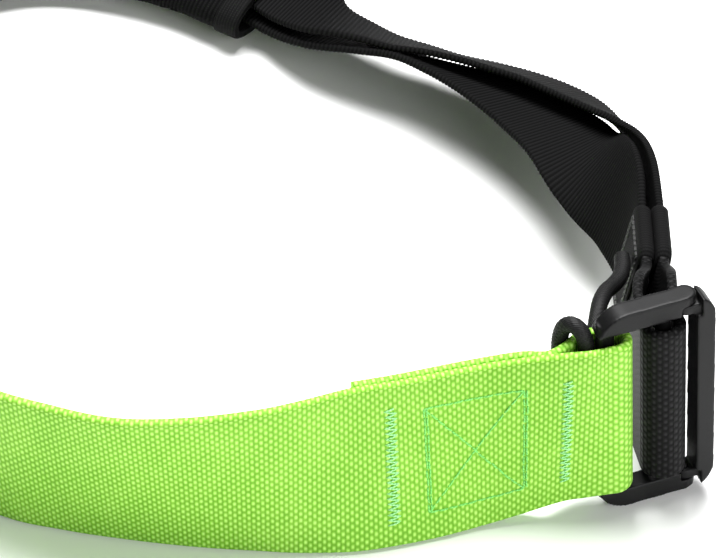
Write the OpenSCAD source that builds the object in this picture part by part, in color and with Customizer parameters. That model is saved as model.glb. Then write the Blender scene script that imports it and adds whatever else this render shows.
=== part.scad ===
// Adjustable flat web sling: a closed loop of flat webbing with a two-piece steel buckle,
// standing on its edges. Millimetres, +Z up, front towards -Y.

/* [Webbing] */
// Width of the heavy loop webbing
web_w = 45; // [43:0.5:46]
// Thickness of the heavy loop webbing
web_t = 2.4; // [2:0.1:2.6]
// Width of the ribbed strap webbing
rib_w = 25; // [22:0.5:26]
// Thickness of the ribbed strap webbing
rib_t = 1.8; // [1.4:0.1:2]

/* [Buckle] */
// Height of the buckle frame
buckle_h = 59.2; // [58:0.2:60]
// Height of each rail of the frame
rail_h = 5.4; // [5:0.1:5.6]
// Width of the flat bar of the lock frame
flat_bar_w = 4.6; // [4.4:0.1:5]
// Radius of the round lock bar
lock_r = 1.9; // [1.8:0.05:2]
// Radius of the round loop bar
loop_r = 2.2; // [2:0.1:2.3]
// Turn of the buckle about the vertical, in degrees
buckle_turn = 20; // [18:1:22]
// Lean of the buckle to the left, in degrees
buckle_lean = 2.6; // [0:0.2:3]

/* [Sleeve] */
// Width of the padded sleeve
sleeve_w = 55; // [53:0.5:56]
// Thickness of the padded sleeve
sleeve_t = 15; // [15:0.5:17]
// Thickness of the sleeve's fabric
cover_t = 1.2; // [1:0.1:1.4]
// Thickness of the foam pad in the sleeve
pad_t = 3; // [2.6:0.1:3]

/* [Cord] */
// Diameter of the retaining cord
cord_d = 4; // [3.6:0.1:4.1]

/* [Hidden] */

// Moves the whole ring so that its box is centred on the origin
seat = [0.7, -16, 0];
gap = 0.15;
steps = 4;

// ---------- curves ----------
function unit(v) = v / norm(v);
function hermite(a, b, c, d, t) =
  0.5 * (2 * b + (c - a) * t + (2 * a - 5 * b + 4 * c - d) * t * t + (3 * b - a - 3 * c + d) * t * t * t);
function smooth(p, n = steps) = [
  for (i = [0:len(p) - 2]) for (k = [0:n - 1])
    hermite(p[max(i - 1, 0)], p[i], p[i + 1], p[min(i + 2, len(p) - 1)], k / n),
  p[len(p) - 1]
];
function place(s) = [s[0], s[1], s[2]];
function across(s) = unit([s[3], s[4], s[5]]);
function ahead(s, i) = unit(place(s[min(i + 1, len(s) - 1)]) - place(s[max(i - 1, 0)]));
// Face normal of a strip at station i: up where the strip lies flat
function face(s, i) = unit(cross(across(s[i]), ahead(s, i)));

// A station of the ring: x, y, z of its lower edge and its outward lean in degrees
function ring_out(r, i) =
  let (t = r[min(i + 1, len(r) - 1)] - r[max(i - 1, 0)]) unit([t[1], -t[0], 0]);
function ring_station(r, i, w) =
  let (up = sin(r[i][3]) * ring_out(r, i) + [0, 0, cos(r[i][3])], c = place(r[i]) + up * w / 2)
  [c[0], c[1], c[2], up[0], up[1], up[2]];

// The ring from the sleeve's mouth, round the back and the left, to the front
ring = [
  [5.6, 84, 8.8, 86], [-5.4, 91.4, 8.9, 82], [-17.2, 99, 9.1, 74], [-32.6, 105.6, 9, 60],
  [-52, 108.5, 7.6, 40], [-74, 103, 7, 18], [-94, 89, 6, 4], [-109, 67, 5.6, 0],
  [-117, 38, 2.6, 0], [-118.5, 6, 0.5, 0], [-112, -27, 0.4, 2], [-97, -58, 0.4, 3],
  [-76, -83, 0.4, 5], [-51, -98.3, 0.3, 7], [-35.5, -103.4, 0.3, 9], [-20, -106.8, 0.4, 10.5],
  [-4.5, -109.2, 0.3, 7.5], [10.5, -110.6, 0.2, 2.5], [20, -111.4, 0.2, -2.5],
  [33, -111.2, 0.3, -9], [43.5, -109, 0.3, -9.5], [53, -106.2, 0.3, -9.5], [62.5, -102.8, 0.6, -8],
  [72, -100.6, 2.4, -5], [81.5, -99, 5, -1], [87, -98.9, 6.2, 0]
];
ring_count = len(ring);
sleeve_last = 7;
green_first = 3;

function ring_row(i, off) =
  let (s = ring_station(ring, i, web_w),
       t = unit(place(ring[min(i + 1, ring_count - 1)]) - place(ring[max(i - 1, 0)])),
       n = unit(cross(across(s), t)))
  [s[0] + n[0] * off, s[1] + n[1] * off, s[2] + n[2] * off, s[3], s[4], s[5]];
function ring_strip(from, to, off) = [for (i = [from:to]) ring_row(i, off)];
function flipped(p) = [for (s = p) [s[0], s[1], s[2], -s[3], -s[4], -s[5]]];
function reversed(p) = [for (i = [len(p) - 1:-1:0]) p[i]];

// ---------- buckle placing ----------
buckle_at = [104.5, -90, 0];
rail_low = 0.9;
rail_top = rail_low + buckle_h;
mid_z = rail_low + buckle_h / 2;
// A point of the upright, unturned buckle at its middle height, in the sling's place
function buckle_point(x, y) =
  let (a = x * cos(buckle_turn) - y * sin(buckle_turn), b = x * sin(buckle_turn) + y * cos(buckle_turn))
  buckle_at + [a * cos(buckle_lean), b, mid_z + a * sin(buckle_lean)];
buckle_up = [-sin(buckle_lean), 0, cos(buckle_lean)];
module on_buckle()
  translate(buckle_at + [0, 0, mid_z]) rotate([0, -buckle_lean, 0]) rotate([0, 0, buckle_turn])
    translate([0, 0, -mid_z]) children();
loop_bar_x = -14.4;
frame_left = -17.4;
frame_right = 11.8;
plate_y = -3.8;

// ---------- strip stations ----------
// Loop strap: round the ring, round the loop bar and back along its own rear
fold_r = loop_r + 0.45 + web_t / 2;
fold_c = buckle_point(loop_bar_x, 0) + [1.3, 0, 0];
function fold_station(a) =
  let (c = fold_c + fold_r * [cos(a), sin(a), 0]) [c[0], c[1], c[2], each buckle_up];
rear_first = 19;
rear_ply = concat(
  [[88, -91.1, 28.9, each buckle_up], [84.6, -91.9, 28.4, -0.02, 0, 1], [81.4, -94.6, 27.7, 0, 0, 1],
    [77.2, -97.1, 26.4, 0, 0.04, 1]],
  reversed(ring_strip(rear_first, ring_count - 3, web_t + gap))
);
// In the sleeve the loop strap lies deeper, to leave room for the pad
stack_mid = -1.8;
function loop_off(i) = i < sleeve_last ? stack_mid : i == sleeve_last ? stack_mid / 2 : 0;
loop_line = concat(
  smooth(concat([for (i = [green_first:ring_count - 1]) ring_row(i, loop_off(i))], [fold_station(-90)])),
  [for (a = [-66:24:78]) fold_station(a)],
  smooth(rear_ply)
);

// Inner ribbed strap: x, y, z of its middle and the direction of its width
inner_front = [
  [100.1, -44, 30, 0.2, 0.03, 0.98], [100.1, -38, 30, 0.2, 0.03, 0.98], [100, -32.5, 30, 0.2, 0.03, 0.98],
  [98.9, -22, 29.2, 0.33, 0.17, 0.93], [97.1, -12, 27.6, 0.44, 0.36, 0.82], [93.4, 0, 24.6, 0.62, 0.62, 0.48],
  [89.9, 9.6, 22.7, 0.78, 0.58, 0.08],
  [86.2, 19.6, 21.3, 0.82, 0.54, -0.08], [79, 32.2, 19.1, 0.77, 0.6, -0.2],
  [72.6, 40.5, 18.1, 0.69, 0.66, -0.3], [65, 48.4, 16.9, 0.59, 0.71, -0.42],
  [56.4, 55.5, 15.5, 0.48, 0.75, -0.55], [46.5, 63.2, 13.8, 0.36, 0.78, -0.62],
  [34.5, 70.5, 11.6, 0.28, 0.84, -0.54], [22.4, 80.2, 9.4, 0.36, 0.88, -0.32],
  [12.8, 94.2, 8.1, 0.53, 0.84, 0], [2, 107.6, 8.3, 0.54, 0.84, 0.12]
];
// Outer ribbed strap, which lies over the inner one at the back
outer_front = [
  [104.3, -44, 30, 0.2, 0.03, 0.98], [104.3, -38, 30, 0.2, 0.03, 0.98], [104.3, -32.5, 30, 0.19, 0.03, 0.98],
  [104.9, -12, 28.6, 0.1, -0.2, 0.97], [104, 7.3, 24.9, 0, -0.47, 0.88],
  [100.8, 21.6, 22.5, -0.16, -0.68, 0.71], [94.6, 33.2, 20.1, -0.27, -0.76, 0.59],
  [86.6, 42.2, 18.5, -0.27, -0.79, 0.55], [78.1, 49.2, 17.6, -0.21, -0.8, 0.56],
  [69, 54.6, 16.9, -0.16, -0.8, 0.57], [60.3, 59, 16.4, -0.1, -0.8, 0.59],
  [51.8, 63.6, 15.8, -0.1, -0.82, 0.56], [43.4, 67.5, 15.2, -0.1, -0.84, 0.5],
  [36.2, 72.3, 15, -0.15, -0.87, 0.46], [27.9, 77.4, 15.1, -0.25, -0.9, 0.36],
  [22.6, 83.4, 14.6, -0.44, -0.88, 0.14], [14.8, 94.3, 13, -0.53, -0.84, -0.05],
  [3.8, 109.2, 13.1, -0.54, -0.83, -0.14]
];
ply_gap = 0.5;
ply_step = web_t / 2 + rib_t / 2 + ply_gap;
inner_line = smooth(concat(inner_front, ring_strip(2, sleeve_last - 2, stack_mid - ply_step)));
outer_line = smooth(concat(outer_front, flipped(ring_strip(2, sleeve_last - 2, stack_mid + ply_step))));

// Adjuster webbing: two plies from the join, round the lock bar
bight_r = lock_r + 1.15 + web_t / 2;
function bight_station(a, w) =
  let (c = buckle_point(bight_r * cos(a), bight_r * sin(a))) [c[0], c[1], c[2], each buckle_up, w];
adjuster_line = concat(
  smooth([
    [100.1, -46, 30, 0.2, 0.03, 0.98, 24], [100.1, -51, 30, 0.2, 0.03, 0.98, 24],
    [100.1, -56, 30, 0.19, 0.02, 0.98, 24.4], [99.6, -63, 30.1, 0.1, 0, 1, 33], [99, -71, 30.3, 0.02, 0, 1, 43],
    [98.8, -79, 30.4, -0.02, 0, 1, web_w],
    bight_station(170, web_w)
  ]),
  [for (a = [190:20:350]) bight_station(a, web_w)],
  smooth([
    bight_station(370, web_w), [107, -79, 30.6, -0.02, 0, 1, web_w], [106.3, -71, 30.4, 0.02, 0, 1, 43],
    [105.4, -63, 30.1, 0.1, 0, 1, 33], [104.3, -56, 30, 0.19, 0.02, 0.98, 24.4],
    [104.3, -51, 30, 0.2, 0.03, 0.98, 24], [104.3, -46, 30, 0.2, 0.03, 0.98, 24]
  ])
);

// Retaining cord: from the inner tab's eye, round behind the loop and over its rear ply
cord_route = [
  [97, -47, 36], [96.8, -52, 37.5], [95.9, -57.5, 39], [94, -63, 41], [91.8, -69, 44], [90, -76, 46.4],
  [88.9, -82, 46], [88.1, -85.6, 42.5], [87.2, -87, 37], [85.2, -87.6, 33.4], [82.4, -88.8, 34.4],
  [80.6, -90.4, 39], [79.9, -91.4, 45], [80.1, -91.4, 50], [81, -92.1, 53.2], [82.7, -93.4, 54.6],
  [84.6, -94.7, 53.6], [85.7, -95.3, 50.4], [85.9, -95.5, 46], [85.9, -95.5, 37]
];

// ---------- solids ----------
module loft(rings) {
  n = len(rings[0]);
  m = len(rings);
  sides = [
    for (i = [0:m - 2]) for (j = [0:n - 1])
      let (a = i * n + j, b = i * n + (j + 1) % n, c = a + n, d = b + n) each [[a, b, d], [a, d, c]]
  ];
  caps = [[for (j = [n - 1:-1:0]) j], [for (j = [0:n - 1]) (m - 1) * n + j]];
  polyhedron(points = [for (r = rings) each r], faces = concat(sides, caps), convexity = 8);
}
// One cross-section of a strip: its four corners
function corners(s, i, w, t) =
  let (c = place(s[i]), u = across(s[i]) * w / 2, n = face(s, i) * t / 2)
  [c - u - n, c + u - n, c + u + n, c - u + n];
module strip(s, w, t) loft([for (i = [0:len(s) - 1]) corners(s, i, w, t)]);
module tapered_strip(s, t) loft([for (i = [0:len(s) - 1]) corners(s, i, s[i][6], t)]);
// A rounded flat section: an oval of width w and thickness t
function oval(s, i, w, t, off = 0) =
  let (n = face(s, i), c = place(s[i]) + n * off, u = across(s[i]))
  [for (a = [0:30:330]) c + u * (w - t) / 2 * sign(round(cos(a) * 9)) + (u * cos(a) + n * sin(a)) * t / 2];

function tube_ring(p, i, d, sides = 8) =
  let (t = unit(p[min(i + 1, len(p) - 1)] - p[max(i - 1, 0)]),
       u = unit(cross(t, [0.31, 0.42, 0.11])), v = cross(t, u))
  [for (k = [0:sides - 1]) p[i] + (u * cos(k * 360 / sides) + v * sin(k * 360 / sides)) * d / 2];
module tube(p, d) loft([for (i = [0:len(p) - 1]) tube_ring(p, i, d)]);

// A row of stitching: a thin raised block on a strip between two stations, moving across it from h0 to h1
module row(s, from, to, w, off, h0 = 0, h1 = undef) {
  rise = is_undef(h1) ? 0 : (h1 - h0) / (to - from);
  clear = off + sign(off) * seam_gap;
  loft([for (i = [from:to])
    let (c = place(s[i]) + face(s, i) * clear + across(s[i]) * (h0 + rise * (i - from)),
         u = across(s[i]) * w / 2, n = face(s, i) * seam_t / 2)
    [c - u - n, c + u - n, c + u + n, c - u + n]]);
}

// Width and height of a row of stitching
seam_w = 0.9;
seam_t = 0.3;
// Gap between a row of stitching and the strap under it
seam_gap = 0.25;

lime = [0.45, 0.95, 0.2];
jet = [0.06, 0.06, 0.065];
coal = [0.1, 0.1, 0.11];
mint = [0.6, 0.98, 0.6];

// ---------- textile parts ----------
module loop_strap() color(lime) translate(seat) strip(loop_line, web_w, web_t);
module inner_strap() color(coal) translate(seat) strip(inner_line, rib_w, rib_t);
module outer_strap() color(coal) translate(seat) strip(outer_line, rib_w, rib_t);
module adjuster_webbing() color(jet) translate(seat) tapered_strip(adjuster_line, web_t);
module retaining_cord() color(jet) translate(seat) tube(smooth(cord_route, 3), cord_d);

// ---------- tabs: folded covers that hold each strap end and webbing ply ----------
tab_line = [for (y = [-54:4:-34]) [0, y, 30, 0.2, 0.03, 0.98]];
tab_wall = 0.65;
tab_slot = web_t + 0.3;
function tab_at(x) = [for (s = tab_line) [x, s[1], s[2], s[3], s[4], s[5]]];
function longer(s, by) = [
  for (i = [0:len(s) - 1]) [s[i][0], s[i][1] + (i == 0 ? -by : i == len(s) - 1 ? by : 0),
    s[i][2], s[i][3], s[i][4], s[i][5]]
];
module tab(x) difference() {
  strip(tab_at(x), rib_w + 1.6, tab_slot + 2 * tab_wall);
  strip(longer(tab_at(x), 1), rib_w + 0.3, tab_slot);
}
inner_tab_x = 100.1;
outer_tab_x = 104.3;
module inner_tab() color(jet) translate(seat) tab(inner_tab_x);
module outer_tab() color(jet) translate(seat) tab(outer_tab_x);

// Seams on a tab's outside face: a rectangle of raised thread, set in from the edges
seam_in = 2.4;
module tab_seam(x, side) {
  s = tab_at(x);
  off = side * (tab_slot / 2 + tab_wall + seam_t / 2);
  n = len(s) - 1;
  for (edge = [-1, 1]) row(longer(s, -seam_in), 0, n, seam_w, off, edge * (rib_w / 2 - seam_in));
  for (y = [s[0][1] + seam_in - seam_w, s[n][1] - seam_in + seam_w]) {
    ends = [for (d = [-seam_w, seam_w] / 2) [x, y + d, 30, 0.2, 0.03, 0.98]];
    row(ends, 0, 1, rib_w - 2 * seam_in - 1, off);
  }
}
module inner_tab_stitch() color(coal) translate(seat) tab_seam(inner_tab_x, 1);
module outer_tab_stitch() color(coal) translate(seat) tab_seam(outer_tab_x, -1);

// ---------- buckle ----------
module round_corner_box(w, h, r_right_top, r_right_low, r_left) {
  r = [r_left, r_right_low, r_right_top, r_left];
  p = [[0, 0], [w, 0], [w, h], [0, h]];
  c = [[r[0], r[0]], [w - r[1], r[1]], [w - r[2], h - r[2]], [r[3], h - r[3]]];
  difference() {
    square([w, h]);
    for (i = [0:3]) if (r[i] > 0) difference() {
      translate([min(p[i][0], c[i][0]), min(p[i][1], c[i][1])]) square(r[i]);
      translate(c[i]) circle(r = r[i], $fn = 48);
    }
  }
}
// Stands a front-view outline up as a plate from y0 to y1
module standing(y0, y1) translate([0, y1, 0]) rotate([90, 0, 0]) linear_extrude(y1 - y0) children();

base_y0 = -2.9;
base_y1 = 2.3;
window_h = buckle_h - 2 * rail_h;
// The lock frame turns on two stub pins of the base frame, inside its rails
pivot_x = 5.4;
ear_r = 2.6;
pin_r = 1.1;
pin_gap = 0.1;
turn_gap = 0.5;
layer_gap = 0.15;
layer = rail_h / 2 - layer_gap;
foot_r = 8;
// The lock bar's ends are hidden in the rails, this far from their outsides
blind = 1;

module base_frame() color(jet) translate(seat) on_buckle() {
  difference() {
    union() {
      standing(base_y0, base_y1) difference() {
        translate([frame_left, rail_low]) round_corner_box(pivot_x - frame_left, buckle_h, 0, 0, foot_r);
        translate([frame_left - 1, rail_low + rail_h]) square([pivot_x - frame_left + 2, window_h]);
      }
      translate([pivot_x, 0, rail_low]) cylinder(r = ear_r, h = buckle_h, $fn = 48);
    }
    // The space in which the lock frame's ears turn
    translate([pivot_x, 0, rail_low + rail_h / 2])
      cylinder(r = ear_r + turn_gap, h = buckle_h - rail_h, $fn = 48);
    translate([pivot_x, base_y0 - 1, rail_low + rail_h / 2])
      cube([ear_r + 1, base_y1 - base_y0 + 2, buckle_h - rail_h]);
    translate([0, 0, rail_low + blind]) cylinder(r = lock_r, h = buckle_h - 2 * blind, $fn = 48);
  }
  translate([loop_bar_x, 0, rail_low + 3]) cylinder(r = loop_r, h = buckle_h - 6, $fn = 48);
  for (z = [rail_low + 1, rail_top - rail_h + layer_gap])
    translate([pivot_x, 0, z]) cylinder(r = pin_r, h = rail_h - 1 - layer_gap, $fn = 48);
}

module lock_ear(z) translate([pivot_x, 0, z]) linear_extrude(layer) difference() {
  union() {
    circle(r = ear_r, $fn = 48);
    translate([0, -ear_r]) square([ear_r + 2, 2 * ear_r - 0.3]);
  }
  circle(r = pin_r + pin_gap, $fn = 48);
}
module lock_frame() color(jet) translate(seat) on_buckle() {
  x0 = pivot_x + ear_r + turn_gap;
  bar_x = frame_right - flat_bar_w;
  low = rail_low + rail_h + layer_gap;
  high = window_h - 2 * layer_gap;
  standing(plate_y, base_y1) {
    translate([x0, rail_low]) round_corner_box(frame_right - x0, buckle_h, 6, 7, 0);
    translate([bar_x, low]) square([flat_bar_w - 1, high]);
  }
  lock_ear(rail_low + rail_h / 2 + layer_gap);
  lock_ear(rail_top - rail_h);
}
module lock_bar() color([0.16, 0.16, 0.17]) translate(seat) on_buckle()
  translate([0, 0, rail_low + blind]) cylinder(r = lock_r, h = buckle_h - 2 * blind, $fn = 48);

// ---------- sleeve ----------
sleeve_line = smooth([for (i = [0:sleeve_last]) ring_station(ring, i, web_w)]);
module sleeve_ring(from, to, w, t, wall) difference() {
  loft([for (i = [from:to]) oval(sleeve_line, i, w, t)]);
  loft([for (i = [from - 1:to + 1])
    oval(stretched(sleeve_line, from, to), i - from + 1, w - 2 * wall, t - 2 * wall)]);
}
// The stations from..to with one more beyond each end
function beyond(a, b) = [for (k = [0:5]) k < 3 ? 2 * a[k] - b[k] : a[k]];
function stretched(s, from, to) = concat(
  [beyond(s[from], s[from + 1])], [for (i = [from:to]) s[i]], [beyond(s[to], s[to - 1])]
);
sleeve_n = len(sleeve_line) - 1;
module sleeve_cover() color(jet) translate(seat) sleeve_ring(1, sleeve_n - 1, sleeve_w, sleeve_t, cover_t);
pad_first = 8;
pad_w = 40;
pad_gap = 0.85;
module sleeve_pad() color([0.3, 0.3, 0.32]) translate(seat)
  loft([for (i = [pad_first:sleeve_n - 2])
    oval(sleeve_line, i, pad_w, pad_t, sleeve_t / 2 - cover_t - pad_t / 2 - pad_gap)]);
module sleeve_binding(from) sleeve_ring(from, from + 1, sleeve_w + 1.4, sleeve_t + 1.4, 0.65);
module sleeve_binding_front() color(coal) translate(seat) sleeve_binding(1);
module sleeve_binding_rear() color(coal) translate(seat) sleeve_binding(sleeve_n - 2);
module sleeve_stitch() color(coal) translate(seat)
  for (side = [-1, 1])
    row(sleeve_line, 4, sleeve_n - 3, seam_w, sleeve_t / 2 + seam_t / 2, side * 15);

// ---------- stitching of the loop ----------
// On the front face of the loop strap, between two places along x
thread_off = -(web_t / 2 + seam_t / 2);
front_line = smooth(ring_strip(green_first, ring_count - 1, 0), 10);
front_from = 60;
function station_at(x) = max([for (i = [0:len(front_line) - 1])
  if (front_line[i][1] < -front_from && front_line[i][0] < x) i]);
module front_row(x0, x1, w, h0 = 0, h1 = undef)
  row(front_line, station_at(x0), station_at(x1), w, thread_off, h0, h1);
tack_h = 32;
module loop_bartack_outer() color(mint) translate(seat) front_row(39.8, 42.6, tack_h);
module loop_bartack_inner() color(mint) translate(seat) front_row(80.6, 83.4, tack_h);

// A stitched box with a cross in it; the rows stop just short of each other
box_x0 = 48.8;
box_x1 = 73;
box_h = 29;
box_mid_x = (box_x0 + box_x1) / 2;
cross_h = box_h / 2 - 2;
cross_x = 9;
cross_w = 1.5;
// The second diagonal is in two halves, which stop this far from the middle
near_x = 1.4;
near_h = cross_h * near_x / cross_x;
module loop_box_stitch() color([0.35, 0.85, 0.4]) translate(seat) {
  front_row(box_x0, box_x0 + 1.4, box_h);
  front_row(box_x1 - 1.4, box_x1, box_h);
  for (side = [-1, 1]) {
    front_row(box_x0 + 2.2, box_x1 - 2.2, seam_w, side * (box_h - seam_w) / 2);
    front_row(box_mid_x - (side < 0 ? cross_x : -near_x), box_mid_x + (side < 0 ? -near_x : cross_x), cross_w,
      side < 0 ? -cross_h : near_h, side < 0 ? -near_h : cross_h);
  }
  front_row(box_mid_x - cross_x, box_mid_x + cross_x, cross_w, cross_h, -cross_h);
}

// ---------- stitching of the adjuster webbing and of the join in the sleeve ----------
module adjuster_bartack() color(coal) translate(seat)
  row(adjuster_line, 10, 12, 16, web_t / 2 + seam_t / 2);
join_line = smooth(ring_strip(2, sleeve_last, stack_mid), 6);
join_top = ply_step + rib_t / 2 + seam_t / 2 + 0.1;
module rear_bartack_front() color(mint) translate(seat) row(join_line, 9, 10, 20, join_top);
module rear_bartack_rear() color(mint) translate(seat) row(join_line, 15, 16, 20, join_top);

loop_strap();
adjuster_webbing();
inner_strap();
outer_strap();
base_frame();
lock_frame();
lock_bar();
inner_tab();
outer_tab();
retaining_cord();
sleeve_cover();
sleeve_pad();
sleeve_binding_front();
sleeve_binding_rear();
loop_bartack_inner();
loop_bartack_outer();
loop_box_stitch();
adjuster_bartack();
inner_tab_stitch();
outer_tab_stitch();
rear_bartack_front();
rear_bartack_rear();
sleeve_stitch();
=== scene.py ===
"""The looks of an adjustable flat web sling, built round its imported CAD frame.

Metres, +Z up, front towards -Y. Stations and routes are in millimetres, as in part.scad, and MM scales them.
"""

import math
import random

import bmesh
import bpy
import numpy as np
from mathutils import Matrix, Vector


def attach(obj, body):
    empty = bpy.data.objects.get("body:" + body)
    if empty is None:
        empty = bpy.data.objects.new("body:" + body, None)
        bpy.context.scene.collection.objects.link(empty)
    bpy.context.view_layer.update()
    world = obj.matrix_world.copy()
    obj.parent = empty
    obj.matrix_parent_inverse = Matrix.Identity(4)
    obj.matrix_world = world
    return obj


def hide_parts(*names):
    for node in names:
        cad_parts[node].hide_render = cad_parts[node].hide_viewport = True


MM = 0.001
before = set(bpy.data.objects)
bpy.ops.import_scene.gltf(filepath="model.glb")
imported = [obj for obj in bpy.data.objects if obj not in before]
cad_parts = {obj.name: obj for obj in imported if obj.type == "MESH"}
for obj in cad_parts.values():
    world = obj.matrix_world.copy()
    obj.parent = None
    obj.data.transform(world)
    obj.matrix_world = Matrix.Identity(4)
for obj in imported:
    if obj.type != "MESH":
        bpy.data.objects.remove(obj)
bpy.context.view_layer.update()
rng = random.Random(7)

# What moves part.scad's stations so that the middle of the loop's box is over the origin
SEAT = np.array([0.7, -16.0, 0.0])


def link_object(name, data):
    obj = bpy.data.objects.new(name, data)
    bpy.context.scene.collection.objects.link(obj)
    return obj


# ---------- camera ----------
AIM = SEAT + [34.0, -12.0, 0.0]
CAMERA_DISTANCE = 1012.0
CAMERA_ELEVATION = math.radians(40)


def make_camera():
    data = bpy.data.cameras.new("camera")
    data.lens, data.sensor_width = 200, 36
    data.clip_start, data.clip_end = 0.05, 20
    cam = link_object("camera", data)
    back = np.array([0, -math.cos(CAMERA_ELEVATION), math.sin(CAMERA_ELEVATION)])
    cam.location = Vector((AIM + back * CAMERA_DISTANCE) * MM)
    cam.rotation_euler = (math.pi / 2 - CAMERA_ELEVATION, 0, 0)
    bpy.context.scene.camera = cam


make_camera()


# ---------- curves, as in part.scad ----------
def unit(v):
    v = np.asarray(v, float)
    return v / np.linalg.norm(v, axis=-1, keepdims=True)


def smooth(points, n=12):
    """Catmull-Rom rows through the points, n to a span. A row may hold more than a position."""
    p = np.asarray(points, float)
    q = np.vstack([p[:1], p, p[-1:]])
    t = (np.arange(n) / n)[:, None]
    rows = []
    for i in range(len(p) - 1):
        a, b, c, d = q[i : i + 4]
        square, cube = 2 * a - 5 * b + 4 * c - d, 3 * b - a - 3 * c + d
        rows.append(0.5 * (2 * b + (c - a) * t + square * t**2 + cube * t**3))
    return np.vstack(rows + [p[-1:]])


WEB_W, WEB_T = 45.0, 2.4
RIB_W, RIB_T = 25.0, 1.8
GAP = 0.15
# The ring from the sleeve's mouth, round the back and the left, to the front:
# x, y and z of its lower edge, and its outward lean in degrees (0 is upright, 90 is flat)
RING = [
    (5.6, 84, 8.8, 86), (-5.4, 91.4, 8.9, 82), (-17.2, 99, 9.1, 74), (-32.6, 105.6, 9, 60),
    (-52, 108.5, 7.6, 40), (-74, 103, 7, 18), (-94, 89, 6, 4), (-109, 67, 5.6, 0), (-117, 38, 2.6, 0),
    (-118.5, 6, 0.5, 0), (-112, -27, 0.4, 2), (-97, -58, 0.4, 3), (-76, -83, 0.4, 5),
    (-51, -98.3, 0.3, 7), (-35.5, -103.4, 0.3, 9), (-20, -106.8, 0.4, 10.5), (-4.5, -109.2, 0.3, 7.5),
    (10.5, -110.6, 0.2, 2.5), (20, -111.4, 0.2, -2.5), (33, -111.2, 0.3, -9), (43.5, -109, 0.3, -9.5),
    (53, -106.2, 0.3, -9.5), (62.5, -102.8, 0.6, -8), (72, -100.6, 2.4, -5), (81.5, -99, 5, -1),
    (87, -98.9, 6.2, 0),
]
SLEEVE_LAST = 7  # where the sleeve's line ends
GREEN_FIRST = 3  # where the loop strap begins, inside the sleeve
REAR_FIRST = 19  # where its sewn-back rear ply ends


def neighbours(i):
    return np.array(RING[max(i - 1, 0)][:3], float), np.array(RING[min(i + 1, len(RING) - 1)][:3], float)


def ring_station(i, w):
    """The middle of the ring's strip at a station, and the direction of its width."""
    a, b = neighbours(i)
    t = b - a
    out = unit([t[1], -t[0], 0])
    lean = math.radians(RING[i][3])
    up = math.sin(lean) * out + math.cos(lean) * np.array([0, 0, 1.0])
    return np.concatenate([np.array(RING[i][:3]) + up * w / 2, up])


def ring_row(i, off):
    s = ring_station(i, WEB_W)
    a, b = neighbours(i)
    s[:3] += unit(np.cross(unit(s[3:6]), unit(b - a))) * off
    return s


def ring_strip(first, last, off):
    return [ring_row(i, off) for i in range(first, last + 1)]


def flipped(rows):
    return [np.concatenate([r[:3], -r[3:6]]) for r in rows]


# ---------- buckle placing ----------
BUCKLE_AT = np.array([104.5, -90.0, 0.0])
BUCKLE_TURN, BUCKLE_LEAN = math.radians(20), math.radians(2.6)
BUCKLE_H, RAIL_LOW = 59.2, 0.9
LOOP_BAR_X, LOOP_R, LOCK_R = -14.4, 2.2, 1.9
MID_Z = RAIL_LOW + BUCKLE_H / 2
BUCKLE_UP = [-math.sin(BUCKLE_LEAN), 0, math.cos(BUCKLE_LEAN)]


def buckle_point(x, y):
    """A point at the buckle's middle height."""
    c, s = math.cos(BUCKLE_TURN), math.sin(BUCKLE_TURN)
    a, b = x * c - y * s, x * s + y * c
    return BUCKLE_AT + [a * math.cos(BUCKLE_LEAN), b, MID_Z + a * math.sin(BUCKLE_LEAN)]


# ---------- strip stations ----------
# Each has the strip's middle, the direction of its width and, where the width changes, the width.
FOLD_GAP = 0.45
FOLD_R = LOOP_R + FOLD_GAP + WEB_T / 2
FOLD_SHIFT = [1.3, 0, 0]
FOLD_C = buckle_point(LOOP_BAR_X, 0) + FOLD_SHIFT


def fold_station(a):
    a = math.radians(a)
    return np.concatenate([FOLD_C + FOLD_R * np.array([math.cos(a), math.sin(a), 0]), BUCKLE_UP])


STACK_MID = -1.8  # the middle of the stack of straps in the sleeve, off the ring's own plane


def loop_off(i):
    """In the sleeve the loop strap lies deeper, to leave room for the pad."""
    return STACK_MID if i < SLEEVE_LAST else STACK_MID / 2 if i == SLEEVE_LAST else 0


rear_ply = [(88, -91.1, 28.9, *BUCKLE_UP), (84.6, -91.9, 28.4, -0.02, 0, 1), (81.4, -94.6, 27.7, 0, 0, 1)]
rear_ply += [(77.2, -97.1, 26.4, 0, 0.04, 1), *ring_strip(REAR_FIRST, len(RING) - 3, WEB_T + GAP)[::-1]]
loop_rows = np.vstack([
    smooth([ring_row(i, loop_off(i)) for i in range(GREEN_FIRST, len(RING))] + [fold_station(-90)]),
    [fold_station(a) for a in range(-84, 79, 6)],
    smooth(rear_ply),
])

inner_front = [
    (100.1, -44, 30, 0.2, 0.03, 0.98), (100.1, -38, 30, 0.2, 0.03, 0.98),
    (100, -32.5, 30, 0.2, 0.03, 0.98), (98.9, -22, 29.2, 0.33, 0.17, 0.93),
    (97.1, -12, 27.6, 0.44, 0.36, 0.82), (93.4, 0, 24.6, 0.62, 0.62, 0.48),
    (89.9, 9.6, 22.7, 0.78, 0.58, 0.08), (86.2, 19.6, 21.3, 0.82, 0.54, -0.08),
    (79, 32.2, 19.1, 0.77, 0.6, -0.2), (72.6, 40.5, 18.1, 0.69, 0.66, -0.3),
    (65, 48.4, 16.9, 0.59, 0.71, -0.42), (56.4, 55.5, 15.5, 0.48, 0.75, -0.55),
    (46.5, 63.2, 13.8, 0.36, 0.78, -0.62), (34.5, 70.5, 11.6, 0.28, 0.84, -0.54),
    (22.4, 80.2, 9.4, 0.36, 0.88, -0.32), (12.8, 94.2, 8.1, 0.53, 0.84, 0),
    (2, 107.6, 8.3, 0.54, 0.84, 0.12),
]
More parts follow.
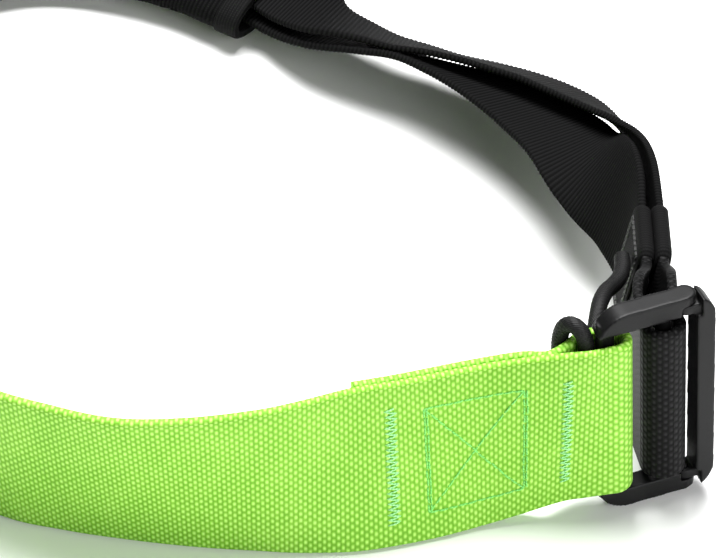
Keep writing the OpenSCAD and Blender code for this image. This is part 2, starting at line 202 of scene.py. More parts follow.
outer_front = [
    (104.3, -44, 30, 0.2, 0.03, 0.98), (104.3, -38, 30, 0.2, 0.03, 0.98),
    (104.3, -32.5, 30, 0.19, 0.03, 0.98), (104.9, -12, 28.6, 0.1, -0.2, 0.97),
    (104, 7.3, 24.9, 0, -0.47, 0.88), (100.8, 21.6, 22.5, -0.16, -0.68, 0.71),
    (94.6, 33.2, 20.1, -0.27, -0.76, 0.59), (86.6, 42.2, 18.5, -0.27, -0.79, 0.55),
    (78.1, 49.2, 17.6, -0.21, -0.8, 0.56), (69, 54.6, 16.9, -0.16, -0.8, 0.57),
    (60.3, 59, 16.4, -0.1, -0.8, 0.59), (51.8, 63.6, 15.8, -0.1, -0.82, 0.56),
    (43.4, 67.5, 15.2, -0.1, -0.84, 0.5), (36.2, 72.3, 15, -0.15, -0.87, 0.46),
    (27.9, 77.4, 15.1, -0.25, -0.9, 0.36), (22.6, 83.4, 14.6, -0.44, -0.88, 0.14),
    (14.8, 94.3, 13, -0.53, -0.84, -0.05), (3.8, 109.2, 13.1, -0.54, -0.83, -0.14),
]
PLY_GAP = 0.5
PLY_STEP = WEB_T / 2 + RIB_T / 2 + PLY_GAP
inner_rows = smooth(inner_front + ring_strip(2, SLEEVE_LAST - 2, STACK_MID - PLY_STEP))
outer_rows = smooth(outer_front + flipped(ring_strip(2, SLEEVE_LAST - 2, STACK_MID + PLY_STEP)))

BIGHT_GAP = 1.15
BIGHT_R = LOCK_R + BIGHT_GAP + WEB_T / 2


def bight_station(a):
    a = math.radians(a)
    return [*buckle_point(BIGHT_R * math.cos(a), BIGHT_R * math.sin(a)), *BUCKLE_UP, WEB_W]


adjuster_rows = np.vstack([
    smooth([
        (100.1, -46, 30, 0.2, 0.03, 0.98, 24), (100.1, -51, 30, 0.2, 0.03, 0.98, 24),
        (100.1, -56, 30, 0.19, 0.02, 0.98, 24.4), (99.6, -63, 30.1, 0.1, 0, 1, 33),
        (99, -71, 30.3, 0.02, 0, 1, 43), (98.8, -79, 30.4, -0.02, 0, 1, WEB_W), bight_station(170),
    ]),
    [bight_station(a) for a in range(180, 361, 10)],
    smooth([
        bight_station(370), (107, -79, 30.6, -0.02, 0, 1, WEB_W), (106.3, -71, 30.4, 0.02, 0, 1, 43),
        (105.4, -63, 30.1, 0.1, 0, 1, 33), (104.3, -56, 30, 0.19, 0.02, 0.98, 24.4),
        (104.3, -51, 30, 0.2, 0.03, 0.98, 24), (104.3, -46, 30, 0.2, 0.03, 0.98, 24),
    ]),
])

cord_route = [
    (97, -47, 36), (96.8, -52, 37.5), (95.9, -57.5, 39), (94, -63, 41), (91.8, -69, 44), (90, -76, 46.4),
    (88.9, -82, 46), (88.1, -85.6, 42.5), (87.2, -87, 37), (85.2, -87.6, 33.4), (82.4, -88.8, 34.4),
    (80.6, -90.4, 39), (79.9, -91.4, 45), (80.1, -91.4, 50), (81, -92.1, 53.2), (82.7, -93.4, 54.6),
    (84.6, -94.7, 53.6), (85.7, -95.3, 50.4), (85.9, -95.5, 46), (85.9, -95.5, 37),
]


class Strip:
    """A ribbon: its middle line, width direction and face direction, at even steps along its length."""

    def __init__(self, rows, step):
        rows = np.array(rows, float)
        rows[:, :3] += SEAT
        keep = np.r_[True, np.linalg.norm(np.diff(rows[:, :3], axis=0), axis=1) > 1e-6]
        rows = rows[keep]
        along = np.r_[0, np.cumsum(np.linalg.norm(np.diff(rows[:, :3], axis=0), axis=1))]
        self.s = np.linspace(0, along[-1], max(2, round(along[-1] / step)) + 1)
        rows = np.stack([np.interp(self.s, along, rows[:, k]) for k in range(rows.shape[1])], axis=1)
        self.mid = rows[:, :3]
        self.up = unit(rows[:, 3:6])
        self.out = unit(np.cross(self.up, unit(np.gradient(self.mid, axis=0))))
        self.width = rows[:, 6] if rows.shape[1] > 6 else None
        self.length = along[-1]

    def at(self, s, across, off):
        """The point at length s, that far across the strip and off its middle plane."""
        def value(a):
            return np.stack([np.interp(s, self.s, a[:, k]) for k in range(3)], axis=-1)
        across, off = np.asarray(across)[..., None], np.asarray(off)[..., None]
        return value(self.mid) + unit(value(self.up)) * across + unit(value(self.out)) * off

    def rings(self, across, off):
        """One ring of points for each station, that far across the strip and off its middle plane."""
        return self.mid[:, None] + self.up[:, None] * across[..., None] + self.out[:, None] * off[..., None]

    def near(self, point):
        """The length at which the strip's middle passes nearest to a point."""
        return self.s[np.linalg.norm(self.mid - (np.array(point) + SEAT), axis=1).argmin()]


# ---------- meshes ----------
def add_mesh(name, verts, faces, uvs):
    """A mesh object from points in millimetres. uvs has one pair for each face corner, in millimetres too."""
    mesh = bpy.data.meshes.new(name)
    mesh.from_pydata([tuple(p) for p in np.asarray(verts) * MM], [], faces)
    layer = mesh.uv_layers.new(name="weave")
    layer.data.foreach_set("uv", np.asarray(uvs, np.float32).ravel())
    mesh.shade_smooth()
    mesh.validate()
    return link_object(name, mesh)


def loft(rings, along, around, close=False):
    """Points, faces and UVs of a skin over rings of points.

    close joins the last ring to the first. Without it the ends are capped.
    """
    rings = np.asarray(rings, float)
    m, k = rings.shape[:2]
    faces, uvs = [], []
    for i in range(m if close else m - 1):
        n = (i + 1) % m
        far = along[i] + (along[1] - along[0]) if n == 0 else along[n]
        for j in range(k):
            q = (j + 1) % k
            faces.append((i * k + j, i * k + q, n * k + q, n * k + j))
            uvs += [(along[i], around[j]), (along[i], around[j + 1]), (far, around[j + 1]), (far, around[j])]
    if not close:
        faces.append(tuple(range(k))[::-1])
        uvs += [(along[0] - 1, around[j]) for j in range(k)][::-1]
        faces.append(tuple((m - 1) * k + j for j in range(k)))
        uvs += [(along[-1] + 1, around[j]) for j in range(k)]
    return rings.reshape(-1, 3), faces, uvs


CORNER_STEPS = 6


def section(width, thick, flat, edge):
    """A flat section with round edges, as (across, off) pairs once round it.

    flat is the number of parts in each wide side. edge is how far the round edges reach across, as a share of
    half the thickness.
    """
    r = thick / 2 * edge
    half = width / 2 - r
    turn = np.linspace(-90, 90, CORNER_STEPS + 1)
    right = [(half + r * math.cos(math.radians(a)), thick / 2 * math.sin(math.radians(a))) for a in turn]
    top = [(x, thick / 2) for x in np.linspace(half, -half, flat + 1)[1:-1]]
    left = [(-x, -y) for x, y in right]
    low = [(-x, -y) for x, y in top]
    return np.array(right + top + left + low)


def perimeter(profile):
    closed = np.vstack([profile, profile[:1]])
    return np.r_[0, np.cumsum(np.linalg.norm(np.diff(closed, axis=0), axis=1))]


RIB_PITCH = 1.3
SLEEVE_RIB_PITCH = 1.5
SELVAGE = 0.75


def ribbon(name, rows, width, thick, step, flat, rib=0.0):
    """A strip of webbing with round selvages. rib is the height of ribs that run across it."""
    strip = Strip(rows, step)
    profile = section(width, thick, flat, edge=SELVAGE)
    w = np.full(len(strip.s), width) if strip.width is None else strip.width
    wave = rib * np.cos(2 * np.pi * strip.s / RIB_PITCH)
    x = profile[None, :, 0] * (w / width)[:, None]
    y = profile[None, :, 1] * (1 + wave / (thick / 2))[:, None]
    x = x * (1 + wave / width)[:, None]
    return add_mesh(name, *loft(strip.rings(x, y), strip.s, perimeter(profile))), strip


def profile_rings(strip, profile):
    """The (across, off) profile at each station of a strip, and the rings of points it makes there."""
    p = np.array([profile(i) for i in range(len(strip.s))])
    return p, strip.rings(p[..., 0], p[..., 1])


def shell(name, strip, outer, inner):
    """A tube with a wall along a strip. outer and inner give the profile at each station."""
    p, outside = profile_rings(strip, outer)
    _, inside = profile_rings(strip, inner)
    both = np.concatenate([outside, inside[::-1]])
    along = np.r_[strip.s, strip.s[::-1] + strip.length * 2 + 2]
    return add_mesh(name, *loft(both, along, perimeter(p[len(p) // 2]), close=True))


OFF_AXIS = [0.31, 0.42, 0.11]  # a direction that no path starts along


def tube_rings(path, radius, sides):
    """Rings round a path. radius is one number, or one for each point of each ring."""
    path = np.asarray(path, float)
    heading = unit(np.gradient(path, axis=0))
    side = np.cross(heading[0], OFF_AXIS)
    a = np.arange(sides) * 2 * np.pi / sides
    r = np.broadcast_to(radius, (len(path), sides))
    rings = []
    for i, d in enumerate(heading):
        side = unit(side - d * (side @ d))
        up = np.cross(d, side)
        rings.append(path[i] + (side * np.cos(a)[:, None] + up * np.sin(a)[:, None]) * r[i][:, None])
    return np.array(rings)


def threads(name, paths, diameter, sides=6):
    """One object of many short threads. UVs run along each thread."""
    verts, faces, uvs = [], [], []
    for path in paths:
        path = np.asarray(path, float)
        s = np.r_[0, np.cumsum(np.linalg.norm(np.diff(path, axis=0), axis=1))]
        girth = np.linspace(0, np.pi * diameter, sides + 1)
        v, f, u = loft(tube_rings(path, diameter / 2, sides), s, girth)
        faces += [tuple(len(verts) + k for k in face) for face in f]
        verts += list(v)
        uvs += u
    return add_mesh(name, verts, faces, uvs)


THREAD_D = 0.45
TACK_D, TACK_PITCH = 0.42, 0.75


def stitched(strip, a, b, off, pitch, diameter=THREAD_D, jitter=0.08):
    """Lock stitches from a to b, each (length, across) on a strip.

    They are raised in the middle and sunk at their ends.
    """
    a, b = np.array(a, float), np.array(b, float)
    n = max(1, round(np.linalg.norm(b - a) / pitch))
    paths = []
    q = np.linspace(0, 1, 7)
    for k in range(n):
        start, stop = a + (b - a) * (k + 0.06) / n, a + (b - a) * (k + 0.94) / n
        start, stop = start + rng.uniform(-jitter, jitter), stop + rng.uniform(-jitter, jitter)
        line = start + (stop - start) * q[:, None]
        lift = np.sign(off) * (np.sin(np.pi * q) ** 0.6 * diameter * 0.62 - diameter * 0.3)
        paths.append(strip.at(line[:, 0], line[:, 1], off + lift))
    return paths


def bar_tack(strip, s, height, width, off):
    """A zigzag tack across a strip at length s."""
    points = []
    q = np.linspace(0, 1, 6)[:-1]
    for k in range(round(height / TACK_PITCH)):
        side = 1 if k % 2 else -1
        v = -height / 2 + k * TACK_PITCH + rng.uniform(-0.08, 0.08)
        across = v + TACK_PITCH * q
        length = s + side * width * (0.5 - q) + rng.uniform(-0.12, 0.12)
        lift = np.sign(off) * (np.sin(np.pi * q) * TACK_D * 0.7 - TACK_D * 0.25)
        points += list(strip.at(length, across, off + lift))
    return [points]


# ---------- materials ----------
class Nodes:
    """A material, and short ways to add and join its nodes."""

    def __init__(self, name, **values):
        self.material = bpy.data.materials.new(name)
        self.material.use_nodes = True
        self.tree = self.material.node_tree
        self.bsdf = next(n for n in self.tree.nodes if n.type == "BSDF_PRINCIPLED")
        for key, value in values.items():
            self.bsdf.inputs[key.replace("_", " ")].default_value = value

    def link(self, a, socket):
        if isinstance(a, (int, float)):
            socket.default_value = a
        else:
            self.tree.links.new(a, socket)

    def add(self, kind, **settings):
        node = self.tree.nodes.new("ShaderNode" + kind)
        for key, value in settings.items():
            setattr(node, key, value)
        return node

    def math(self, operation, a, b=0.0, c=0.0, clamp=False):
        node = self.add("Math", operation=operation, use_clamp=clamp)
        for value, socket in zip((a, b, c), node.inputs):
            self.link(value, socket)
        return node.outputs[0]

    def uv(self):
        split = self.add("SeparateXYZ")
        self.tree.links.new(self.add("UVMap", uv_map="weave").outputs[0], split.inputs[0])
        return split.outputs[0], split.outputs[1]

    def noise(self, scale, detail=3.0, rough=0.6):
        node = self.add("TexNoise")
        self.tree.links.new(self.add("TexCoord").outputs["Object"], node.inputs["Vector"])
        node.inputs["Scale"].default_value = scale
        node.inputs["Detail"].default_value = detail
        node.inputs["Roughness"].default_value = rough
        return node.outputs["Fac"]

    def ramp(self, factor, stops):
        node = self.add("ValToRGB")
        self.link(factor, node.inputs[0])
        elements = node.color_ramp.elements
        while len(elements) < len(stops):
            elements.new(0.5)
        for element, (place, colour) in zip(elements, stops):
            element.position = place
            element.color = (*colour, 1)
        return node.outputs[0]

    def bump(self, height, distance, strength=1.0):
        node = self.add("Bump")
        node.inputs["Strength"].default_value = strength
        node.inputs["Distance"].default_value = distance
        self.link(height, node.inputs["Height"])
        self.tree.links.new(node.outputs[0], self.bsdf.inputs["Normal"])

    def finish(self, colour, rough=None):
        self.tree.links.new(colour, self.bsdf.inputs["Base Color"])
        if rough is not None:
            self.tree.links.new(rough, self.bsdf.inputs["Roughness"])
        return self.material


def basket_weave(name, gap_shade, mid, top, column=1.09, row=1.95, bump=0.00016, **values):
    """Heavy webbing: columns of long floats, each column half a float on from the last."""
    m = Nodes(name, **values)
    u, v = m.uv()
    cu = m.math("COSINE", m.math("MULTIPLY", u, math.pi / column))
    cv = m.math("COSINE", m.math("MULTIPLY", v, 2 * math.pi / row))
    ridge = m.math("ABSOLUTE", cu)
    crown = m.math("MULTIPLY_ADD", m.math("MULTIPLY", m.math("SIGN", cu), cv), 0.42, 0.5)
    floats = m.math("MULTIPLY", m.math("POWER", ridge, 1.3), crown, clamp=True)
    wear = m.noise(900, 4)
    patch = m.noise(60, 2)
    height = m.math("MULTIPLY_ADD", m.math("SUBTRACT", wear, 0.5), 0.3, m.math("POWER", floats, 0.6))
    tone = m.math("ADD", floats, m.math("MULTIPLY", m.math("SUBTRACT", wear, 0.5), 0.5))
    tone = m.math("ADD", tone, m.math("MULTIPLY", m.math("SUBTRACT", patch, 0.5), 0.35))
    # The colour follows the floats: painted shade in the gaps between them and a painted highlight on their
    # crowns. The wear and patch noises add random tone.
    colour = m.ramp(tone, [(0.0, gap_shade), (0.4, mid), (0.9, top)])
    m.bump(height, bump)
    return m.finish(colour)


YARN_PITCH = 0.62


def ribbed(name, low, high, pitch=RIB_PITCH, bump=0.00006, **values):
    """Strap with ribs across it, crossed by fine warp yarns."""
    m = Nodes(name, **values)
    u, v = m.uv()
    rib = m.math("MULTIPLY_ADD", m.math("COSINE", m.math("MULTIPLY", u, 2 * math.pi / pitch)), 0.5, 0.5)
    yarn = m.math("COSINE", m.math("MULTIPLY", v, 2 * math.pi / YARN_PITCH))
    slant = m.math("MULTIPLY", yarn, m.math("SUBTRACT", rib, 0.4))
    grain = m.noise(1100, 4)
    fuzzy = m.math("MULTIPLY_ADD", m.math("SUBTRACT", grain, 0.5), 0.4, rib)
    tone = m.math("MULTIPLY_ADD", slant, 0.12, fuzzy)
    # The colour follows the ribs: a painted highlight on their crests and painted shade between them; the
    # grain adds random tone.
    colour = m.ramp(tone, [(0.0, low), (1.0, high)])
    m.bump(m.math("MULTIPLY_ADD", slant, 0.5, grain), bump)
    return m.finish(colour)


def thread_finish(name, low, high, pitch=0.8, **values):
    """Twisted thread: a fine slanting ply along it."""
    m = Nodes(name, **values)
    u, v = m.uv()
    ply = m.math("COSINE", m.math("MULTIPLY", m.math("MULTIPLY_ADD", v, 0.8, u), 2 * math.pi / pitch))
    tone = m.math("MULTIPLY_ADD", ply, 0.5, 0.5)
    # The colour follows the ply: a painted highlight on its crowns and painted shade in its grooves.
    colour = m.ramp(tone, [(0.0, low), (1.0, high)])
    m.bump(tone, 0.00005)
    return m.finish(colour)


def coated_steel(name, base, edge, **values):
    """Satin coating, with a painted highlight on its edges."""
    m = Nodes(name, **values)
    grain = m.noise(1400, 4)
    cloud = m.noise(70, 3)
    # Pointiness finds the edges, which are painted lighter as a highlight, patchy under the cloud
    edges = m.add("NewGeometry").outputs["Pointiness"]
    edge_highlight = m.math("MULTIPLY", m.math("SUBTRACT", edges, 0.53), 9.0, clamp=True)
    edge_highlight = m.math("MULTIPLY", edge_highlight, m.math("MULTIPLY_ADD", cloud, 1.2, -0.2, clamp=True))
    colour = m.ramp(m.math("MULTIPLY_ADD", cloud, 0.15, edge_highlight), [(0.0, base), (1.0, edge)])
    rough = m.math("MULTIPLY_ADD", grain, 0.22, m.math("MULTIPLY_ADD", cloud, 0.12, 0.24))
    m.bump(grain, 0.00003, 0.6)
    return m.finish(colour, rough)


def closed_foam(name):
    m = Nodes(name, Roughness=0.9)
    m.bump(m.noise(1500, 3), 0.0002)
    return m.finish(m.ramp(m.noise(400), [(0.3, (0.02, 0.02, 0.021)), (0.8, (0.07, 0.07, 0.072))]))


# Each weave's first colour is painted shade in the gaps between floats and its last a painted highlight on
# their crowns
LIME = basket_weave(
    "lime_webbing", (0.14, 0.39, 0.018), (0.29, 0.6, 0.065), (0.47, 0.8, 0.17),
    Roughness=0.6, Specular_IOR_Level=0.25,
)
BLACK_WEAVE = basket_weave(
    "black_webbing", (0.0006, 0.0006, 0.0006), (0.0022, 0.0022, 0.0023), (0.016, 0.016, 0.0165),
    Roughness=0.6, Specular_IOR_Level=0.1,
)
# The light colour of each ribbed cloth is a painted highlight on its rib crests and the dark one painted
# shade between the ribs
RIBBED = ribbed(
    "ribbed_webbing", (0.0008, 0.0008, 0.0008), (0.006, 0.006, 0.0062),
    Roughness=0.8, Specular_IOR_Level=0.05,
)
SLEEVE = ribbed(
    "sleeve_fabric", (0.0008, 0.0008, 0.0008), (0.005, 0.005, 0.0052), pitch=SLEEVE_RIB_PITCH, bump=0.0001,
    Roughness=0.85, Specular_IOR_Level=0.05,
)
TAPE = ribbed(
    "tab_webbing", (0.001, 0.001, 0.001), (0.006, 0.006, 0.0062), pitch=0.9, bump=0.00012,
    Roughness=0.8, Specular_IOR_Level=0.08,
)
# Its second colour is a painted highlight on the buckle's edges
STEEL = coated_steel("black_steel", (0.0025, 0.0025, 0.0026), (0.02, 0.02, 0.021), Specular_IOR_Level=0.16)
# For the cord and the threads, the dark colour is painted shade in the ply's grooves and the light one a
# painted highlight on its crowns
CORD = thread_finish(
    "cord", (0.0012, 0.0012, 0.0012), (0.009, 0.009, 0.0093), pitch=0.5,
    Roughness=0.55, Specular_IOR_Level=0.2,
)
MINT = thread_finish("mint_thread", (0.25, 0.68, 0.24), (0.45, 0.92, 0.4), Roughness=0.5)
GREEN = thread_finish("green_thread", (0.14, 0.55, 0.1), (0.26, 0.76, 0.16), Roughness=0.5)
BLACK_THREAD = thread_finish("black_thread", (0.005, 0.005, 0.005), (0.03, 0.03, 0.031), Roughness=0.45)
FOAM = closed_foam("foam")


def piece(obj, material, slot, body, *nodes):
    """Gives a piece its material, and puts it on its body in place of its CAD nodes. slot is not used."""
    obj.data.materials.clear()
    obj.data.materials.append(material)
    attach(obj, body)
    if nodes:
        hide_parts(*nodes)
    return obj


# ---------- straps ----------
RIB_HIGH = 0.13
loop, _ = ribbon("loop_webbing", loop_rows, WEB_W, WEB_T, step=1.0, flat=24)
piece(loop, LIME, "lime_webbing", "webbing", "loop_strap")
adjuster, adjuster_strip = ribbon("adjuster_ply", adjuster_rows, WEB_W, WEB_T, step=0.6, flat=24)
piece(adjuster, BLACK_WEAVE, "black_webbing", "webbing", "adjuster_webbing")
inner, _ = ribbon("inner_ribbed_strap", inner_rows, RIB_W, RIB_T, step=0.26, flat=10, rib=RIB_HIGH)
piece(inner, RIBBED, "ribbed_webbing", "webbing", "inner_strap")
outer, _ = ribbon("outer_ribbed_strap", outer_rows, RIB_W, RIB_T, step=0.26, flat=10, rib=RIB_HIGH)
piece(outer, RIBBED, "ribbed_webbing", "webbing", "outer_strap")

# ---------- cord ----------
CORD_D = 4.0


def braided(name, route, diameter, carriers=8, lay=9.0, sides=40, step=0.3):
    """A braided cord: two sets of strands that cross over each other round a core."""
    fine = smooth(np.array(route, float) + SEAT, 24)
    along = np.r_[0, np.cumsum(np.linalg.norm(np.diff(fine, axis=0), axis=1))]
    s = np.linspace(0, along[-1], round(along[-1] / step) + 1)
    path = np.stack([np.interp(s, along, fine[:, k]) for k in range(3)], axis=1)
    a = np.arange(sides)[None] * 2 * np.pi / sides
    turn = 2 * np.pi * s[:, None] / lay
    left, right = np.cos(carriers * (a + turn) / 2), np.cos(carriers * (a - turn) / 2)
    relief = np.maximum(np.abs(left), np.abs(right)) ** 2
    over = np.sign(np.cos(carriers * a / 2 + np.pi / 4) * np.cos(carriers * turn / 2 + np.pi / 4))
    height = 0.55 * relief + 0.25 * (np.abs(np.where(over > 0, left, right)))
    radius = diameter / 2 - 0.28 + 0.34 * height
    girth = np.linspace(0, np.pi * diameter, sides + 1)
    return add_mesh(name, *loft(tube_rings(path, radius, sides), s, girth))


cord = braided("retaining_cord_braid", cord_route, CORD_D)
piece(cord, CORD, "cord", "webbing", "retaining_cord")

# ---------- tabs ----------
TAB_SLOT = 2.7
TAB_WALL = 0.65
TAB_T = TAB_SLOT + 2 * TAB_WALL
TAB_W = RIB_W + 1.6
TAB_FLAT = 14
TAB_ROUND = 3.2
SEAM_MARGIN, SEAM_STEP = 2.2, 0.8
TAB_THREAD_D = 0.4


def tab(name, x, node, stitch_name, stitch_node, side):
    """A thick sewn end round a strap. side is the face that its stitching shows on."""
    rows = [(x, y, 30, 0.2, 0.03, 0.98) for y in np.linspace(-54, -34, 11)]
    strip = Strip(rows, 0.5)

    def narrowing(s):
        d = min(s, strip.length - s)
        return 0 if d >= TAB_ROUND else TAB_ROUND - math.sqrt(max(0, TAB_ROUND**2 - (TAB_ROUND - d) ** 2))

    def outline(i):
        s = strip.s[i]
        crown = 0.12 * math.sin(math.pi * min(1, min(s, strip.length - s) / 3) / 2)
        return section(TAB_W - 2 * narrowing(s) * 0.9, TAB_T + 2 * crown - 0.3, TAB_FLAT, edge=0.8)

    def slot_line(i):
        width = min(RIB_W + 0.3, TAB_W - 2 * narrowing(strip.s[i]) * 0.9 - 1)
        return section(width, TAB_SLOT, TAB_FLAT, edge=0.5)

    def inward(p):
        along = math.copysign(SEAM_STEP, strip.length / 2 - p[0])
        return np.array(p) + [along, -math.copysign(SEAM_STEP, p[1])]

    piece(shell(name, strip, outline, slot_line), TAPE, "tab_webbing", "webbing", node)
    off = side * (TAB_T / 2 - 0.02)
    s0, s1, h = SEAM_MARGIN, strip.length - SEAM_MARGIN, RIB_W / 2 - 2.4
    corners = [(s0, -h), (s1, -h), (s1, h), (s0, h)]
    paths = []
    for a, b in zip(corners, corners[1:] + corners[:1]):
        for ends in ((a, b), (inward(a), inward(b))):
            paths += stitched(strip, *ends, off, pitch=2.0, diameter=TAB_THREAD_D, jitter=0.04)
    piece(threads(stitch_name, paths, TAB_THREAD_D), BLACK_THREAD, "black_thread", "webbing", stitch_node)


tab("inner_tab_cover", 100.1, "inner_tab", "inner_tab_seam", "inner_tab_stitch", 1)
tab("outer_tab_cover", 104.3, "outer_tab", "outer_tab_seam", "outer_tab_stitch", -1)

# ---------- loop stitching ----------
front_rows = smooth(ring_strip(GREEN_FIRST, len(RING) - 1, 0))
front = Strip(front_rows, 0.5)
FRONT_OFF = -WEB_T / 2


def length_at(x):
    """The length along the front of the loop strap at which it passes x."""
    on_front = front.mid[:, 1] < -60
    return np.interp(x + SEAT[0], front.mid[on_front, 0], front.s[on_front])


OUTER_TACK_X, INNER_TACK_X = 41.2, 82
BOX_X, BOX_HALF = (49.4, 72.4), 14.4
for name, node, x, height, width in (
    ("loop_bartack_outer_thread", "loop_bartack_outer", OUTER_TACK_X, 32, 2.9),
    ("loop_bartack_inner_thread", "loop_bartack_inner", INNER_TACK_X, 31, 2.6),
):
    tack = bar_tack(front, length_at(x), height, width, FRONT_OFF)
    piece(threads(name, tack, TACK_D), MINT, "mint_thread", "webbing", node)
box0, box1 = (length_at(x) for x in BOX_X)
box_paths = []
# The upright sides are sewn twice, side by side
for shift in (-0.35, 0.35):
    corner = [(s + shift, v) for s, v in
              ((box0, -BOX_HALF), (box1, -BOX_HALF), (box1, BOX_HALF), (box0, BOX_HALF))]
    for a, b in ((0, 1), (1, 2), (2, 3), (3, 0), (0, 2), (1, 3)):
        if shift < 0 or (a, b) in ((3, 0), (1, 2)):
            box_paths += stitched(front, corner[a], corner[b], FRONT_OFF, pitch=2.5, jitter=0.12)
piece(threads("loop_box_thread", box_paths, THREAD_D), GREEN, "green_thread", "webbing", "loop_box_stitch")

# ---------- adjuster stitching ----------
ADJUSTER_TACK_AT = (99.9, -57, 30)
tack_s = adjuster_strip.near(ADJUSTER_TACK_AT)
adjuster_tack = bar_tack(adjuster_strip, tack_s, height=16, width=2.4, off=WEB_T / 2)
tack_thread = threads("adjuster_bartack_thread", adjuster_tack, TACK_D)
piece(tack_thread, BLACK_THREAD, "black_thread", "webbing", "adjuster_bartack")

# ---------- sleeve ----------
SLEEVE_W, SLEEVE_T, COVER_T = 55.0, 15.0, 1.2
sleeve_rows = smooth([ring_station(i, WEB_W) for i in range(SLEEVE_LAST + 1)])
full = Strip(sleeve_rows, 0.3)
SEAM_AT = 15.0


def trimmed(strip, start, end):
    """The part of a strip between two lengths."""
    part = object.__new__(Strip)
    keep = (strip.s >= start) & (strip.s <= end)
    part.s = strip.s[keep] - strip.s[keep][0]
    part.mid, part.up, part.out = strip.mid[keep], strip.up[keep], strip.out[keep]
    part.width, part.length = None, part.s[-1]
    return part


sleeve_strip = trimmed(full, 3.5, full.length - 6)


def oval(width, thick, points=64):
    """A crowned section: flat on its wide sides, full at its edges."""
    a = np.linspace(0, 2 * np.pi, points, endpoint=False)
    c, s = np.cos(a), np.sin(a)
    x = (width - thick) / 2 * np.sign(np.round(c, 9)) * np.abs(c) ** 0.5 + thick / 2 * c
    return np.stack([x, thick / 2 * np.sign(s) * np.abs(s) ** 0.8], axis=1)


def sleeve_outline(i):
    """The cover's section at a station: ribs, two sewn grooves, slack cloth and a pinch at each end."""
    s = sleeve_strip.s[i]
    p = oval(SLEEVE_W, SLEEVE_T)
    rib = 0.1 * math.cos(2 * math.pi * s / SLEEVE_RIB_PITCH)
    groove = np.exp(-(((np.abs(p[:, 0]) - SEAM_AT) / 1.1) ** 2)) * 0.9
    end = min(s, sleeve_strip.length - s)
    pinch = math.exp(-end / 4)
    slack = 0.35 * np.sin(s / 9 + p[:, 0] / 7) + 0.25 * np.sin(s / 4.7 - p[:, 0] / 5)
    y = p[:, 1] - np.sign(p[:, 1]) * (groove + pinch - rib - slack * (1 - math.exp(-end / 6)) + 0.6)
    return np.stack([p[:, 0] * (1 - 0.012 * math.exp(-end / 5)), y], axis=1)


def sleeve_lining(_):
    return oval(SLEEVE_W - 2 * COVER_T - 0.6, SLEEVE_T - 2 * COVER_T - 2.8)


cover = shell("sleeve_padded_cover", sleeve_strip, sleeve_outline, sleeve_lining)
piece(cover, SLEEVE, "sleeve_fabric", "webbing", "sleeve_cover")

PAD_W, PAD_T = 40, 2.6
PAD_START = (-7.8, 120, 15)
pad_strip = trimmed(full, full.near(PAD_START), full.length - 10)


def pad_section(i):
    end = min(pad_strip.s[i], pad_strip.length - pad_strip.s[i])
    p = section(PAD_W * (1 - 0.06 * math.exp(-end / 3)), PAD_T, 24, edge=0.9)
    p[:, 1] += SLEEVE_T / 2 - COVER_T - 2.1
    p[:, 1] += 0.5 * np.cos(np.pi * np.clip(p[:, 0] / (PAD_W / 2), -1, 1)) - 0.5
    return p


pad_p, pad_rings = profile_rings(pad_strip, pad_section)
PAD_STEP = 4  # the foam needs only every fourth station
pad = add_mesh("sleeve_foam_pad", *loft(pad_rings[::PAD_STEP], pad_strip.s[::PAD_STEP], perimeter(pad_p[0])))
piece(pad, FOAM, "foam", "webbing", "sleeve_pad")


def binding(name, start, end, node):
    """A band of tape folded over the sleeve's end."""
    strip = trimmed(full, start, end)

    def outline(i):
        d = min(strip.s[i], strip.length - strip.s[i])
        puff = 0.5 * math.sqrt(max(0.0, 1 - (1 - min(1, d / 1.2)) ** 2))
        return oval(SLEEVE_W + 0.5 + puff, SLEEVE_T - 1.2 + 2 * puff)

    def lining(_):
        return oval(SLEEVE_W - 3.4, SLEEVE_T - 5.6)

    piece(shell(name, strip, outline, lining), TAPE, "tab_webbing", "webbing", node)


binding("sleeve_binding_front_tape", 3.0, 10.5, "sleeve_binding_front")
binding("sleeve_binding_rear_tape", full.length - 13, full.length - 5.6, "sleeve_binding_rear")
seam_paths = []
for side in (-1, 1):
    a, b = (12, side * SEAM_AT), (full.length - 15, side * SEAM_AT)
    seam_paths += stitched(full, a, b, SLEEVE_T / 2 - 1.35, pitch=3.0)
seam = threads("sleeve_seam_thread", seam_paths, THREAD_D)
piece(seam, BLACK_THREAD, "black_thread", "webbing", "sleeve_stitch")

join = Strip(smooth(ring_strip(2, SLEEVE_LAST, STACK_MID)), 0.5)
JOIN_OFF = PLY_STEP + RIB_T / 2
for name, node, share in (
    ("rear_bartack_front_thread", "rear_bartack_front", 0.31),
    ("rear_bartack_rear_thread", "rear_bartack_rear", 0.51),
):
    tack = bar_tack(join, join.length * share, height=20, width=2.6, off=JOIN_OFF)
    piece(threads(name, tack, TACK_D), MINT, "mint_thread", "webbing", node)

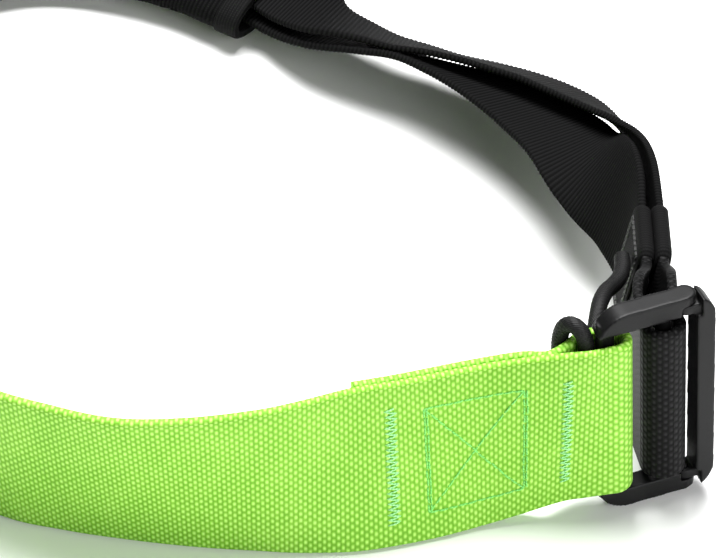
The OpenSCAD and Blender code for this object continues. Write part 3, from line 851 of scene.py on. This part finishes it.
# ---------- buckle ----------
def softened(name, node, body, voxel=0.32, passes=6):
    """The CAD part again with its edges and inner corners rounded, as cast and coated metal has them."""
    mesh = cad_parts[node].data.copy()
    mesh.name = name
    obj = link_object(name, mesh)
    work = bmesh.new()
    work.from_mesh(mesh)
    bmesh.ops.remove_doubles(work, verts=work.verts, dist=1e-6)
    work.to_mesh(mesh)
    work.free()
    remesh = obj.modifiers.new("remesh", "REMESH")
    remesh.mode, remesh.voxel_size = "VOXEL", voxel * MM
    relax = obj.modifiers.new("relax", "SMOOTH")
    relax.factor, relax.iterations = 0.5, passes
    graph = bpy.context.evaluated_depsgraph_get()
    obj.data = bpy.data.meshes.new_from_object(obj.evaluated_get(graph))
    obj.modifiers.clear()
    obj.data.shade_smooth()
    return piece(obj, STEEL, "black_steel", body, node)


softened("buckle_base", "base_frame", "base")
softened("buckle_lock", "lock_frame", "lock")
softened("buckle_lock_bar", "lock_bar", "base")


# ---------- stage ----------
def area_light(name, place, size, power, target=(0, 0, 0)):
    data = bpy.data.lights.new(name, "AREA")
    data.shape, data.size, data.energy = "SQUARE", size, power
    obj = link_object(name, data)
    obj.location = place
    obj.rotation_euler = (Vector(target) - Vector(place)).to_track_quat("-Z", "Y").to_euler()


def make_stage():
    half = 3.0
    mesh = bpy.data.meshes.new("floor")
    corners = [(-half, -half, 0), (half, -half, 0), (half, half, 0), (-half, half, 0)]
    mesh.from_pydata(corners, [], [(0, 1, 2, 3)])
    floor = link_object("floor", mesh)
    paint = Nodes("floor_paint", Roughness=0.3, Specular_IOR_Level=0.4)
    paint.bsdf.inputs["Base Color"].default_value = (0.93, 0.93, 0.93, 1)
    floor.data.materials.append(paint.material)
    world = bpy.data.worlds.new("studio")
    bpy.context.scene.world = world
    world.use_nodes = True
    world.node_tree.nodes["Background"].inputs["Color"].default_value = (1, 1, 1, 1)
    world.node_tree.nodes["Background"].inputs["Strength"].default_value = 0.13
    area_light("top_back", (0.0, 0.32, 1.15), 0.8, 44)
    area_light("front_fill", (0.75, -1.0, 0.55), 0.8, 13, (0.06, -0.1, 0.02))
    bpy.context.scene.view_settings.view_transform = "Standard"


make_stage()
